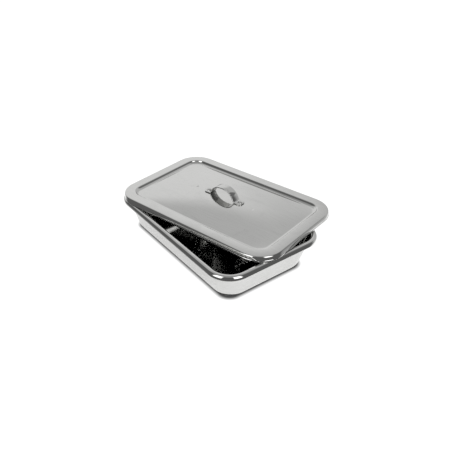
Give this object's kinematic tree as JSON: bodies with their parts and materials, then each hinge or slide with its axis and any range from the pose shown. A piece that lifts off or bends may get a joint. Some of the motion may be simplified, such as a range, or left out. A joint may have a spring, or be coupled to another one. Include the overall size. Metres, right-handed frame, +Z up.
{
  "type": "instrument tray",
  "caption": "Deep-drawn rectangular steel tray with rounded corners and a rolled rim, and a loose lid with a stepped, crowned panel and a riveted strap handle.",
  "frame": {"origin": "centre of the pan's flat base, on the surface it stands on", "axes": "+Z up, +X along the tray's long side, +Y along its short side; the lid lies turned 13.5 degrees anticlockwise about Z on the rim"},
  "size_m": [0.3332, 0.252, 0.0878],
  "materials": {
    "pan_steel": "bright polished stainless sheet",
    "lid_steel": "bright polished stainless sheet",
    "handle_steel": "bright polished stainless strip",
    "rivet_steel": "bright stainless wire, headed cold"
  },
  "bodies": {
    "tray": {"tray_pan": "pan_steel"},
    "lid": {"lid_sheet": "lid_steel", "handle_strap": "handle_steel", "handle_rivet_left": "rivet_steel", "handle_rivet_right": "rivet_steel"}
  },
  "joints": [
    {"name": "lid_lift", "type": "slide", "parent": "tray", "child": "lid", "axis": [0, 0, 1], "range_m": [0, 0.12]}
  ]
}
